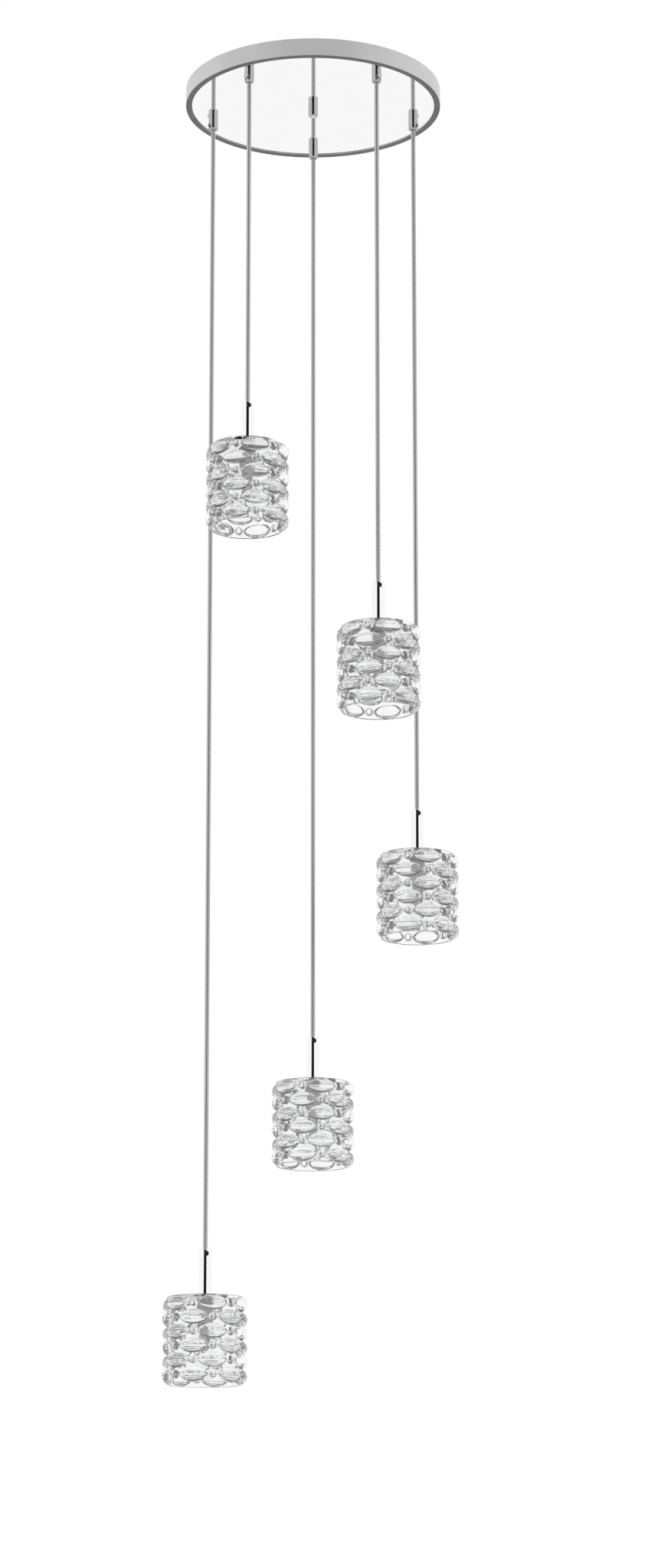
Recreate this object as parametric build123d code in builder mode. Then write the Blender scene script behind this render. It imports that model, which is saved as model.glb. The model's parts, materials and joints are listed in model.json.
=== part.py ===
from build123d import *
import os
from math import cos, radians, sin, sqrt

# Cluster pendant: a round canopy with a mirror underside, and five pressed-glass shades that hang
# from it on straight cords at five heights.
# Millimetres, +Z up. The origin is the centre of the ceiling plane, so everything hangs below Z = 0.
# The front is -Y. Azimuths are degrees from the front, positive to the right.

# Canopy
canopy_diameter = 350.0
canopy_height = 25.0
rim_sheet = 1.2  # steel of the rim and its lip
lip_width = 8.0  # flat ring round the mirror
mirror_recess = 1.6  # the mirror's face lies this far above the lip's underside
mirror_thickness = 1.2
mirror_edge_gap = 0.3
floor_sheet = 1.2  # pan floor that the mirror is clamped against
rim_edge_radius = 0.48

# Tools that cut from outside a piece start this far off its surface
cut_margin = 1.0

# Ceiling fixing
crossbar_length = 124.0
crossbar_width = 22.0
crossbar_thickness = 2.0
slot_spacing = 80.0
slot_length = 24.0
slot_width = 4.8
stud_diameter = 10.0
stud_engagement = 9.0  # length of stud inside the collar
stud_top_gap = 0.3  # stud end below the ceiling
stud_chamfer = 0.8
stud_bore_end = 1.2  # collar thread below the stud's end
stud_nut_size = 17.0  # across flats
stud_nut_height = 3.2
ground_screw_diameter = 4.0
ground_screw_length = 8.0
ground_head_diameter = 7.6
ground_head_height = 2.4
ground_screw_inset = 5.5  # from the crossbar's end

# Junction box, a ring round the stud under the crossbar
box_outer_diameter = 80.0
box_inner_diameter = 29.0
box_height = 11.0
box_edge_radius = 1.2
lead_entry_depth = 8.0

# Cords and their grips
pendant_azimuths = (-36.0, 36.0, 108.0, 180.0, -108.0)
shade_drops = (611.0, 858.0, 1126.0, 1415.0, 1711.0)  # ceiling to the middle of each shade
port_inset = 29.0  # canopy's edge to a cord
cord_diameter = 6.0
cord_clearance = 0.3  # radial, where a cord runs in a bore
sleeve_diameter = 13.2
sleeve_length = 14.0
sleeve_chamfer = 0.5
nipple_diameter = 10.0
nipple_overrun = 1.2  # nipple end above its nut
thread_gap = 0.05  # radial, between mating threads
fit_gap = 0.15  # radial, between plain fitted pieces
hole_gap = 0.25  # radial, of a sheet hole round a threaded piece
grip_nut_size = 14.0
grip_nut_height = 3.5
bushing_diameter = 9.6
bushing_depth = 8.5
bushing_flange_diameter = 11.4
bushing_flange = 1.3
bushing_flare = 0.8
bushing_edge_radius = 0.6
grip_screw_diameter = 3.0
grip_screw_head_diameter = 4.8
grip_screw_head = 2.6
grip_screw_chamfer = 0.4
grip_screw_height = 6.5  # screw axis above the sleeve's lower end
screw_slot_width = 0.8
screw_slot_depth = 0.8
pivot_gap = 0.5  # free cord's top to the lead's end inside the grip
lead_bend_radius = 9.0
lead_roof_gap = 3.6  # lead to ceiling, which clears the crossbar

# Centre collar's plug
plug_diameter = 7.0
plug_length = 4.0
plug_nose = 1.6

# Stem on each shade
stem_diameter = 15.4
stem_length = 60.0
stem_wall = 1.5
stem_top_radius = 1.0
cord_socket_depth = 14.0
stem_head = 18.0  # solid top of the stem
wire_bore = 4.4
stem_thread_length = 10.0
stem_screw_diameter = 6.4
stem_screw_drop = 5.4  # screw axis below the stem's top
stem_screw_azimuth = 13.0
stem_screw_proud = 0.5
stem_screw_chamfer = 0.5
stem_screw_hex = 3.4  # across corners
stem_screw_hex_depth = 1.6

# Fittings that clamp the glass
washer_diameter = 22.0
washer_thickness = 1.5
shade_nut_size = 17.0
shade_nut_height = 4.0
nipple_bore = 7.0
holder_diameter = 21.0
holder_height = 24.0
holder_thread_depth = 7.0
holder_edge = 1.5
lamp_slot_length = 16.6
lamp_slot_width = 5.6
lamp_slot_depth = 8.0

# Capsule lamp
lamp_foot_length = 15.6
lamp_foot_width = 4.6
lamp_foot_height = 12.0
lamp_seat_gap = 0.4
lamp_diameter = 14.0
lamp_length = 34.0
lamp_shoulder = 3.0

# Pressed-glass shade
glass_radius = 49.2  # outside of the plain wall
glass_wall = 3.0
glass_top = 4.0
glass_edge = 1.2
glass_hole_diameter = 11.0
rows = 6
lenses_per_row = 6
row_pitch = 18.2
rim_margin = 1.4  # plain rim above the first row and below the last
lens_length = 40.0
lens_height = 17.4
lens_sides = 16  # flat flutes that run from tip to tip
lens_profile = ((0.64, 0.62), (0.24, 1.0))  # breaks of a flute, in shares of half length and height
lens_sink = 2.4  # lens axis below the wall's surface
bead_diameter = 10.2
bead_facets = 3  # turned facets from the bead's foot to its top
lens_azimuth = 14.0  # first lens of the odd rows

# Levels
lip_face = -canopy_height
mirror_face = lip_face + mirror_recess
floor_under = mirror_face + mirror_thickness
floor_top = floor_under + floor_sheet
crossbar_under = -crossbar_thickness
sleeve_end = mirror_face - sleeve_length
grip_mouth = sleeve_end - bushing_flange  # the cords swing about this level
grip_nut_top = floor_top + grip_nut_height
nipple_top = grip_nut_top + nipple_overrun
lead_level = -lead_roof_gap - cord_diameter / 2
collar_end = mirror_face - sleeve_length
stud_end = mirror_face - stud_engagement

# Levels of a pendant, from the middle of its shade
shade_height = rows * row_pitch + 2 * rim_margin
glass_top_face = shade_height / 2
stem_bottom = glass_top_face + washer_thickness
stem_top = stem_bottom + stem_length
cord_end = stem_top - cord_socket_depth
glass_ceiling = glass_top_face - glass_top  # underside of the closed top
shade_nut_top = glass_ceiling - washer_thickness
holder_top = shade_nut_top - shade_nut_height
holder_bottom = holder_top - holder_height
lamp_foot_top = holder_bottom + lamp_slot_depth - lamp_seat_gap
lamp_glass_top = lamp_foot_top - lamp_foot_height + lamp_shoulder

# Radii
canopy_radius = canopy_diameter / 2
lip_radius = canopy_radius - lip_width
port_circle_radius = canopy_radius - port_inset
cord_radius = cord_diameter / 2
cord_bore_radius = cord_radius + cord_clearance
sleeve_radius = sleeve_diameter / 2
stem_radius = stem_diameter / 2
cavity_radius = glass_radius - glass_wall


def port(azimuth):
    """A cord's place on the canopy, with local +X pointing outward."""
    x = port_circle_radius * sin(radians(azimuth))
    y = -port_circle_radius * cos(radians(azimuth))
    return Location((x, y, 0), (0, 0, azimuth - 90))


def hanging(azimuth, drop):
    """The middle of a shade, with the axes of the canopy."""
    return Location((port(azimuth).position.X, port(azimuth).position.Y, -drop))


def facing(radius, azimuth, level):
    """A plane on a vertical cylinder's side that looks outward, with its X axis level."""
    turn = radians(azimuth)
    return Plane(
        origin=(radius * sin(turn), -radius * cos(turn), level),
        x_dir=(cos(turn), sin(turn), 0),
        z_dir=(sin(turn), -cos(turn), 0),
    )


def hex_radius(across_flats):
    return across_flats / sqrt(3)


ports = [port(azimuth) for azimuth in pendant_azimuths]


def write(part, name):
    part.label = name
    export_step(part, f"parts/{name}.step")


# ---------------------------------------------------------------- canopy


def make_canopy_pan():
    """Rim, lip and pan floor, spun from one sheet, open to the ceiling."""
    with BuildPart() as pan:
        with BuildSketch(Plane.XZ):
            with BuildLine():
                Polyline(
                    (canopy_radius, 0),
                    (canopy_radius, lip_face),
                    (lip_radius, lip_face),
                    (lip_radius, floor_under),
                    (0, floor_under),
                    (0, floor_top),
                    (lip_radius + rim_sheet, floor_top),
                    (lip_radius + rim_sheet, lip_face + rim_sheet),
                    (canopy_radius - rim_sheet, lip_face + rim_sheet),
                    (canopy_radius - rim_sheet, 0),
                    close=True,
                )
            make_face()
        revolve(axis=Axis.Z)
        lip_edges = pan.edges().filter_by(GeomType.CIRCLE).group_by(Axis.Z)[0]
        fillet(lip_edges, rim_edge_radius)
        extrude(port_holes(floor_under), amount=floor_sheet, mode=Mode.SUBTRACT)
    return pan.part


def make_mirror_plate():
    """Polished disc that lies against the pan floor."""
    with BuildPart() as plate:
        with BuildSketch(Plane.XY.offset(mirror_face)):
            Circle(lip_radius - mirror_edge_gap)
        extrude(amount=mirror_thickness)
        extrude(port_holes(mirror_face), amount=mirror_thickness, mode=Mode.SUBTRACT)
    return plate.part


def port_holes(level):
    """Outlines of the holes for the five cord grips and the centre stud."""
    with BuildSketch(Plane.XY.offset(level)) as holes:
        with Locations(*ports):
            Circle(nipple_diameter / 2 + hole_gap)
        Circle(stud_diameter / 2 + hole_gap)
    return holes.sketch


def make_ceiling_crossbar():
    """Steel strap that is screwed to the ceiling and carries the centre stud."""
    with BuildPart() as bar:
        with BuildSketch(Plane.XY.offset(crossbar_under)):
            SlotOverall(crossbar_length, crossbar_width)
            Circle(stud_diameter / 2 + thread_gap, mode=Mode.SUBTRACT)
            with Locations((-slot_spacing / 2, 0), (slot_spacing / 2, 0)):
                SlotOverall(slot_length, slot_width, mode=Mode.SUBTRACT)
            with Locations((ground_screw_inset - crossbar_length / 2, 0)):
                Circle(ground_screw_diameter / 2 + thread_gap, mode=Mode.SUBTRACT)
        extrude(amount=crossbar_thickness)
    return bar.part


def make_centre_stud():
    """Threaded rod from the crossbar down into the collar."""
    length = -stud_top_gap - stud_end
    with BuildPart() as stud:
        with BuildSketch(Plane.XY.offset(stud_end)):
            Circle(stud_diameter / 2)
        extrude(amount=length)
        chamfer(stud.edges().filter_by(GeomType.CIRCLE), stud_chamfer)
    return stud.part


def make_hex_nut(across_flats, height, bore_radius):
    """Nut with its top face at Z = 0."""
    with BuildPart() as nut:
        with BuildSketch():
            RegularPolygon(hex_radius(across_flats), 6)
            Circle(bore_radius, mode=Mode.SUBTRACT)
        extrude(amount=-height)
    return nut.part


def make_stud_nut():
    """Lock nut that clamps the stud under the crossbar."""
    nut = make_hex_nut(stud_nut_size, stud_nut_height, stud_diameter / 2 + thread_gap)
    return nut.moved(Location((0, 0, crossbar_under)))


def make_ground_screw():
    """Earth screw in the crossbar's end."""
    with BuildPart() as screw:
        with BuildSketch(Plane.XY.offset(crossbar_under)):
            with Locations((ground_screw_inset - crossbar_length / 2, 0)):
                Circle(ground_head_diameter / 2)
        extrude(amount=-ground_head_height)
        with BuildSketch(Plane.XY.offset(-stud_top_gap)):
            with Locations((ground_screw_inset - crossbar_length / 2, 0)):
                Circle(ground_screw_diameter / 2)
        extrude(amount=-ground_screw_length)
    return screw.part


def make_junction_box():
    """Ring-shaped box where the five leads end, against the crossbar's underside."""
    with BuildPart() as box:
        with BuildSketch(Plane.XY.offset(crossbar_under)):
            Circle(box_outer_diameter / 2)
            Circle(box_inner_diameter / 2, mode=Mode.SUBTRACT)
        extrude(amount=-box_height)
        low_edges = box.edges().filter_by(GeomType.CIRCLE).group_by(Axis.Z)[0]
        fillet(low_edges, box_edge_radius)
        for azimuth in pendant_azimuths:
            with BuildSketch(facing(box_outer_diameter / 2 + cut_margin, azimuth, lead_level)):
                Circle(cord_bore_radius)
            extrude(amount=-(lead_entry_depth + cut_margin), mode=Mode.SUBTRACT)
    return box.part


def make_centre_collar():
    """Chrome collar that is screwed on the stud and holds the canopy up."""
    thread_radius = stud_diameter / 2 + thread_gap
    plug_radius = plug_diameter / 2 + fit_gap
    thread_end = stud_end - stud_bore_end
    with BuildPart() as collar:
        with BuildSketch(Plane.XZ):
            with BuildLine():
                Polyline(
                    (thread_radius, mirror_face),
                    (sleeve_radius, mirror_face),
                    (sleeve_radius, collar_end),
                    (plug_radius, collar_end),
                    (plug_radius, thread_end),
                    (thread_radius, thread_end),
                    close=True,
                )
            make_face()
        revolve(axis=Axis.Z)
        round_sleeve_end(collar, collar_end)
    return collar.part


def round_sleeve_end(builder, level):
    """Chamfer of a sleeve's outer lower edge."""
    edges = builder.edges().filter_by(GeomType.CIRCLE)
    outer = edges.filter_by_position(Axis.Z, level, level).sort_by(SortBy.RADIUS)[-1]
    chamfer(outer, sleeve_chamfer)


def make_collar_plug():
    """White plug in the collar's lower end, with a rounded nose."""
    radius = plug_diameter / 2
    top = collar_end + plug_length - plug_nose
    with BuildPart() as plug:
        with BuildSketch(Plane.XZ):
            with BuildLine():
                Polyline((0, collar_end - plug_nose), (0, top), (radius, top), (radius, collar_end))
                EllipticalCenterArc(
                    (0, collar_end), radius, plug_nose, start_angle=270, arc_size=90
                )
            make_face()
        revolve(axis=Axis.Z)
    return plug.part


# ---------------------------------------------------------------- cord grips


def make_grip():
    """Sleeve and threaded nipple turned from one bar, with its screw hole along +X."""
    mouth_radius = bushing_diameter / 2 + fit_gap
    shoulder = sleeve_end + bushing_depth + fit_gap
    with BuildPart() as grip:
        with BuildSketch(Plane.XZ):
            with BuildLine():
                Polyline(
                    (cord_bore_radius, nipple_top),
                    (nipple_diameter / 2, nipple_top),
                    (nipple_diameter / 2, mirror_face),
                    (sleeve_radius, mirror_face),
                    (sleeve_radius, sleeve_end),
                    (mouth_radius, sleeve_end),
                    (mouth_radius, shoulder),
                    (cord_bore_radius, shoulder),
                    close=True,
                )
            make_face()
        revolve(axis=Axis.Z)
        round_sleeve_end(grip, sleeve_end)
        with BuildSketch(Plane.YZ.offset(mouth_radius - cut_margin)):
            with Locations((0, sleeve_end + grip_screw_height)):
                Circle(grip_screw_diameter / 2 + fit_gap)
        extrude(amount=sleeve_radius, mode=Mode.SUBTRACT)
    return grip.part


def make_bushing():
    """Clear nylon bushing round the cord, with a flange below the sleeve."""
    top = sleeve_end + bushing_depth
    with BuildPart() as bushing:
        with BuildSketch(Plane.XZ):
            with BuildLine():
                Polyline(
                    (cord_bore_radius, top),
                    (bushing_diameter / 2, top),
                    (bushing_diameter / 2, sleeve_end),
                    (bushing_flange_diameter / 2, sleeve_end),
                    (bushing_flange_diameter / 2, grip_mouth),
                    (cord_bore_radius + bushing_flare, grip_mouth),
                    (cord_bore_radius, grip_mouth + bushing_flare),
                    close=True,
                )
            make_face()
        revolve(axis=Axis.Z)
        flange_edge = bushing.edges().filter_by(GeomType.CIRCLE).filter_by_position(
            Axis.Z, grip_mouth, grip_mouth
        )
        fillet(flange_edge.sort_by(SortBy.RADIUS)[-1], bushing_edge_radius)
    return bushing.part


def make_grip_screw():
    """Slotted clamp screw along +X that presses on the bushing."""
    level = sleeve_end + grip_screw_height
    tip = bushing_diameter / 2 + fit_gap
    head = sleeve_radius + thread_gap
    with BuildPart() as screw:
        with BuildSketch(Plane.YZ.offset(tip)):
            with Locations((0, level)):
                Circle(grip_screw_diameter / 2)
        extrude(amount=head - tip)
        with BuildSketch(Plane.YZ.offset(head)):
            with Locations((0, level)):
                Circle(grip_screw_head_diameter / 2)
        extrude(amount=grip_screw_head)
        outer = screw.edges().filter_by(GeomType.CIRCLE).sort_by(Axis.X)[-1]
        chamfer(outer, grip_screw_chamfer)
        with BuildSketch(Plane.YZ.offset(head + grip_screw_head)):
            with Locations((0, level)):
                Rectangle(grip_screw_head_diameter, screw_slot_width)
        extrude(amount=-screw_slot_depth, mode=Mode.SUBTRACT)
    return screw.part


def make_grip_nut():
    """Nut that draws the grip up against the mirror."""
    nut = make_hex_nut(grip_nut_size, grip_nut_height, nipple_diameter / 2 + thread_gap)
    return nut.moved(Location((0, 0, grip_nut_top)))


def make_inner_lead():
    """Cord inside the canopy: up the grip's bore, round one bend and in to the junction box."""
    lead_end = port_circle_radius - box_outer_diameter / 2 + lead_entry_depth - cord_clearance
    start = (0, 0, grip_mouth + pivot_gap)
    with BuildPart() as lead:
        with BuildLine() as route:
            corner = (0, 0, lead_level)
            FilletPolyline(start, corner, (-lead_end, 0, lead_level), radius=lead_bend_radius)
        with BuildSketch(Plane(origin=start, z_dir=(0, 0, 1))):
            Circle(cord_radius)
        sweep(path=route.line)
    return lead.part


def at_each_port(piece):
    """Five copies of a piece, one at each cord, as separate solids of one part."""
    with BuildPart() as group:
        with Locations(*ports):
            add(piece)
    return group.part


# ---------------------------------------------------------------- pendants, about the shade's middle


def wall_outline(depth):
    """Circle in the middle of the glass wall, seen from a lens whose axis lies at this radius."""
    with BuildSketch(Plane.XZ.offset(-lens_height)) as outline:
        with Locations((0, -depth)):
            Circle(glass_radius - glass_wall / 2)
    return outline.sketch


def lens_flat(near, far, side):
    """One flat of a lens between two stations, each given as (x, radius of the corners)."""
    corners = []
    for (x, radius), order in ((near, (side, side + 1)), (far, (side + 1, side))):
        for corner in order[: 2 if radius else 1]:
            turn = radians(90 + 360 * corner / lens_sides)
            corners.append((x, radius * cos(turn), radius * sin(turn)))
    return Face(Wire.make_polygon(corners))


def make_lens():
    """Pointed lens along X with flat flutes, which bulges along +Z and is rooted in the wall."""
    half = lens_length / 2
    left = [(-half, 0)]
    for share, level in lens_profile:
        left.append((-share * half, level * lens_height / 2))
    stations = left + [(-x, radius) for x, radius in reversed(left)]
    flats = []
    for near, far in zip(stations, stations[1:]):
        for side in range(lens_sides):
            flats.append(lens_flat(near, far, side))
    with BuildPart() as lens:
        add(Solid(Shell(flats)))
        extrude(wall_outline(glass_radius - lens_sink), amount=2 * lens_height, mode=Mode.SUBTRACT)
    return lens.part


def make_bead():
    """Round bead of turned facets that is rooted in the middle of the wall."""
    radius = bead_diameter / 2
    side = [(0, -glass_wall), (radius, -glass_wall)]
    for step in range(bead_facets + 1):
        turn = radians(90 * step / bead_facets)
        side.append((radius * cos(turn), radius * sin(turn)))
    with BuildPart() as bead:
        with BuildSketch(Plane.XZ):
            with BuildLine():
                Polyline(*side, close=True)
            make_face()
        revolve(axis=Axis.Z)
        extrude(wall_outline(glass_radius), amount=2 * lens_height, mode=Mode.SUBTRACT)
    return bead.part


def make_shade():
    """Open glass cup with a closed top and rows of pointed lenses and round beads."""
    pitch_angle = 360 / lenses_per_row
    lens_places = []
    bead_places = []
    for row in range(rows):
        level = glass_top_face - rim_margin - (row + 0.5) * row_pitch
        turn = lens_azimuth - (row % 2) * pitch_angle / 2
        for column in range(lenses_per_row):
            azimuth = turn + column * pitch_angle
            lens_places.append(facing(glass_radius - lens_sink, azimuth, level))
            bead_places.append(facing(glass_radius, azimuth + pitch_angle / 2, level))
    with BuildPart() as shade:
        with BuildSketch(Plane.XZ):
            with BuildLine():
                Polyline(
                    (glass_hole_diameter / 2, glass_top_face),
                    (glass_radius, glass_top_face),
                    (glass_radius, -glass_top_face),
                    (cavity_radius, -glass_top_face),
                    (cavity_radius, glass_ceiling),
                    (glass_hole_diameter / 2, glass_ceiling),
                    close=True,
                )
            make_face()
        revolve(axis=Axis.Z)
        circles = shade.edges().filter_by(GeomType.CIRCLE)
        chamfer(circles.group_by(SortBy.RADIUS)[-1], glass_edge)
        with Locations(*lens_places):
            add(make_lens())
        with Locations(*bead_places):
            add(make_bead())
    return shade.part


def make_stem():
    """Chrome tube with a solid head that takes the cord, and a thread in its foot."""
    head_bottom = stem_top - stem_head
    chamber_bottom = stem_bottom + stem_thread_length
    thread_radius = nipple_diameter / 2 + thread_gap
    with BuildPart() as stem:
        with BuildSketch(Plane.XZ):
            with BuildLine():
                Polyline(
                    (stem_radius, stem_bottom),
                    (stem_radius, stem_top),
                    (cord_bore_radius, stem_top),
                    (cord_bore_radius, cord_end),
                    (wire_bore / 2, cord_end),
                    (wire_bore / 2, head_bottom),
                    (stem_radius - stem_wall, head_bottom),
                    (stem_radius - stem_wall, chamber_bottom),
                    (thread_radius, chamber_bottom),
                    (thread_radius, stem_bottom),
                    close=True,
                )
            make_face()
        revolve(axis=Axis.Z)
        top_edges = stem.edges().filter_by(GeomType.CIRCLE).filter_by_position(
            Axis.Z, stem_top, stem_top
        )
        fillet(top_edges.sort_by(SortBy.RADIUS)[-1], stem_top_radius)
        outside = stem_radius + cut_margin
        with BuildSketch(facing(outside, stem_screw_azimuth, stem_top - stem_screw_drop)):
            Circle(stem_screw_diameter / 2 + fit_gap)
        extrude(amount=cord_radius - outside, mode=Mode.SUBTRACT)
    return stem.part


def make_stem_screw():
    """Black hex-socket set screw that holds the cord in the stem."""
    tip = cord_radius + cord_clearance
    length = stem_radius + stem_screw_proud - tip
    level = stem_top - stem_screw_drop
    face = facing(stem_radius + stem_screw_proud, stem_screw_azimuth, level)
    with BuildPart() as screw:
        with BuildSketch(face):
            Circle(stem_screw_diameter / 2)
        extrude(amount=-length)
        outer = screw.edges().filter_by(GeomType.CIRCLE).sort_by(Axis.Y)[0]
        chamfer(outer, stem_screw_chamfer)
        with BuildSketch(face):
            RegularPolygon(stem_screw_hex / 2, 6)
        extrude(amount=-stem_screw_hex_depth, mode=Mode.SUBTRACT)
    return screw.part


def make_nipple():
    """Threaded tube through the glass, from the stem's foot into the lamp holder."""
    top = stem_bottom + stem_thread_length - thread_gap
    bottom = holder_top - holder_thread_depth + fit_gap
    with BuildPart() as nipple:
        with BuildSketch(Plane.XY.offset(bottom)):
            Circle(nipple_diameter / 2)
            Circle(nipple_bore / 2, mode=Mode.SUBTRACT)
        extrude(amount=top - bottom)
    return nipple.part


def make_washers():
    """Soft washers above and below the glass."""
    with BuildPart() as washers:
        for level in (stem_bottom, glass_ceiling):
            with BuildSketch(Plane.XY.offset(level)):
                Circle(washer_diameter / 2)
                Circle(nipple_diameter / 2 + fit_gap, mode=Mode.SUBTRACT)
            extrude(amount=-washer_thickness)
    return washers.part


def make_shade_nut():
    """Nut under the glass."""
    nut = make_hex_nut(shade_nut_size, shade_nut_height, nipple_diameter / 2 + thread_gap)
    return nut.moved(Location((0, 0, shade_nut_top)))


def make_lamp_holder():
    """Ceramic holder for a two-pin capsule lamp."""
    with BuildPart() as holder:
        with BuildSketch(Plane.XY.offset(holder_top)):
            Circle(holder_diameter / 2)
        extrude(amount=-holder_height)
        fillet(holder.edges().filter_by(GeomType.CIRCLE), holder_edge)
        with BuildSketch(Plane.XY.offset(holder_top)):
            Circle(nipple_diameter / 2 + thread_gap)
        extrude(amount=-holder_thread_depth, mode=Mode.SUBTRACT)
        with BuildSketch(Plane.XY.offset(holder_bottom)):
            Rectangle(lamp_slot_length, lamp_slot_width)
        extrude(amount=lamp_slot_depth, mode=Mode.SUBTRACT)
    return holder.part


def make_lamp():
    """Capsule lamp: a flat foot in the holder and a round-ended glass."""
    radius = lamp_diameter / 2
    end = lamp_glass_top - lamp_length
    with BuildPart() as lamp:
        with BuildSketch(Plane.XZ):
            with BuildLine():
                Line((0, lamp_glass_top), (radius - lamp_shoulder, lamp_glass_top))
                TangentArc(
                    (radius - lamp_shoulder, lamp_glass_top),
                    (radius, lamp_glass_top - lamp_shoulder),
                    tangent=(1, 0),
                )
                Line((radius, lamp_glass_top - lamp_shoulder), (radius, end + radius))
                TangentArc((radius, end + radius), (0, end), tangent=(0, -1))
                Line((0, end), (0, lamp_glass_top))
            make_face()
        revolve(axis=Axis.Z)
        with BuildSketch(Plane.XY.offset(lamp_foot_top)):
            Rectangle(lamp_foot_length, lamp_foot_width)
        extrude(amount=-lamp_foot_height)
    return lamp.part


def make_cord(place, drop):
    """Free cord from the grip's mouth straight down into the stem's head."""
    with BuildPart() as cord:
        with BuildSketch(Plane.XY.offset(grip_mouth)):
            with Locations((place.position.X, place.position.Y)):
                Circle(cord_radius)
        extrude(amount=-(drop + grip_mouth - cord_end))
    return cord.part


# ---------------------------------------------------------------- write the pieces

os.makedirs("parts", exist_ok=True)

canopy_pieces = {
    "canopy_pan": make_canopy_pan(),
    "mirror_plate": make_mirror_plate(),
    "ceiling_crossbar": make_ceiling_crossbar(),
    "centre_stud": make_centre_stud(),
    "stud_nut": make_stud_nut(),
    "ground_screw": make_ground_screw(),
    "junction_box": make_junction_box(),
    "centre_collar": make_centre_collar(),
    "collar_plug": make_collar_plug(),
    "cord_grips": at_each_port(make_grip()),
    "grip_bushings": at_each_port(make_bushing()),
    "grip_screws": at_each_port(make_grip_screw()),
    "grip_nuts": at_each_port(make_grip_nut()),
    "inner_leads": at_each_port(make_inner_lead()),
}
for name, piece in canopy_pieces.items():
    write(piece, name)

pendant_pieces = {
    "shade": make_shade(),
    "stem": make_stem(),
    "stem_screw": make_stem_screw(),
    "nipple": make_nipple(),
    "glass_washers": make_washers(),
    "shade_nut": make_shade_nut(),
    "lamp_holder": make_lamp_holder(),
    "lamp": make_lamp(),
}
for number, (azimuth, drop) in enumerate(zip(pendant_azimuths, shade_drops), start=1):
    middle = hanging(azimuth, drop)
    write(make_cord(middle, drop), f"cord_{number}")
    for name, piece in pendant_pieces.items():
        write(piece.moved(middle), f"{name}_{number}")
    cord_length = drop + grip_mouth - cord_end
    print(f"cord_{number} length {cord_length:.1f}, no bends")
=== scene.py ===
import json
from math import atan2, cos, hypot, pi, radians, sin

import bmesh
import bpy
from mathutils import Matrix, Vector


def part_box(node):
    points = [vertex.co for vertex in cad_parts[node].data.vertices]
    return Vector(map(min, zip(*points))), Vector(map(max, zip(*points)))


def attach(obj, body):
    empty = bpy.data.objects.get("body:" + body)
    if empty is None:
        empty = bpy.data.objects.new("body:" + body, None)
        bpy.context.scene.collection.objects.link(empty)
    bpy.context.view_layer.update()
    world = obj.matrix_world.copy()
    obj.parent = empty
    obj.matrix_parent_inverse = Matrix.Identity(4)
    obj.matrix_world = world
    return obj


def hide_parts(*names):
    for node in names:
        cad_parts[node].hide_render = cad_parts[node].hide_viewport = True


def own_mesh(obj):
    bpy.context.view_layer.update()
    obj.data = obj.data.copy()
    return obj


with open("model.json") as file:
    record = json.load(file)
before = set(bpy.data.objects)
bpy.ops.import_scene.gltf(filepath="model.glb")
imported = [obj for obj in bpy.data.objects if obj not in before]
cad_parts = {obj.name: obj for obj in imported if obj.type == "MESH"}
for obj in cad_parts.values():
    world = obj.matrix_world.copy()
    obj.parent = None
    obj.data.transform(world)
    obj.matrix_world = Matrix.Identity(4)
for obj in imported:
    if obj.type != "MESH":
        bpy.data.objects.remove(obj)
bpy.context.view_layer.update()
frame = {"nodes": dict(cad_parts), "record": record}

# Cluster pendant: mirror-faced canopy, five straight cords, five pressed-glass shades.
# Metres, in the frame of the CAD model: the ceiling is Z = 0 and the front is -Y.

MM = 0.001
PENDANTS = range(1, 6)

scene = bpy.context.scene


# ---------------------------------------------------------------- camera

CAMERA_PLACE = (0.015, -5.0, -2.18)
CAMERA_PITCH = 13.46  # degrees above level
FOCAL_PIXELS = 5080  # focal length, in pixels of the photograph
PHOTO_HEIGHT = 2048
SENSOR = 36.0
VIEW_LIMIT = 100  # metres


def make_camera():
    data = bpy.data.cameras.new("camera")
    data.sensor_width = SENSOR
    data.lens = FOCAL_PIXELS * SENSOR / PHOTO_HEIGHT
    data.clip_end = VIEW_LIMIT
    camera = bpy.data.objects.new("camera", data)
    camera.location = CAMERA_PLACE
    camera.rotation_euler = (radians(90 + CAMERA_PITCH), 0, 0)
    scene.collection.objects.link(camera)
    scene.camera = camera


# ---------------------------------------------------------------- node helpers


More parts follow.
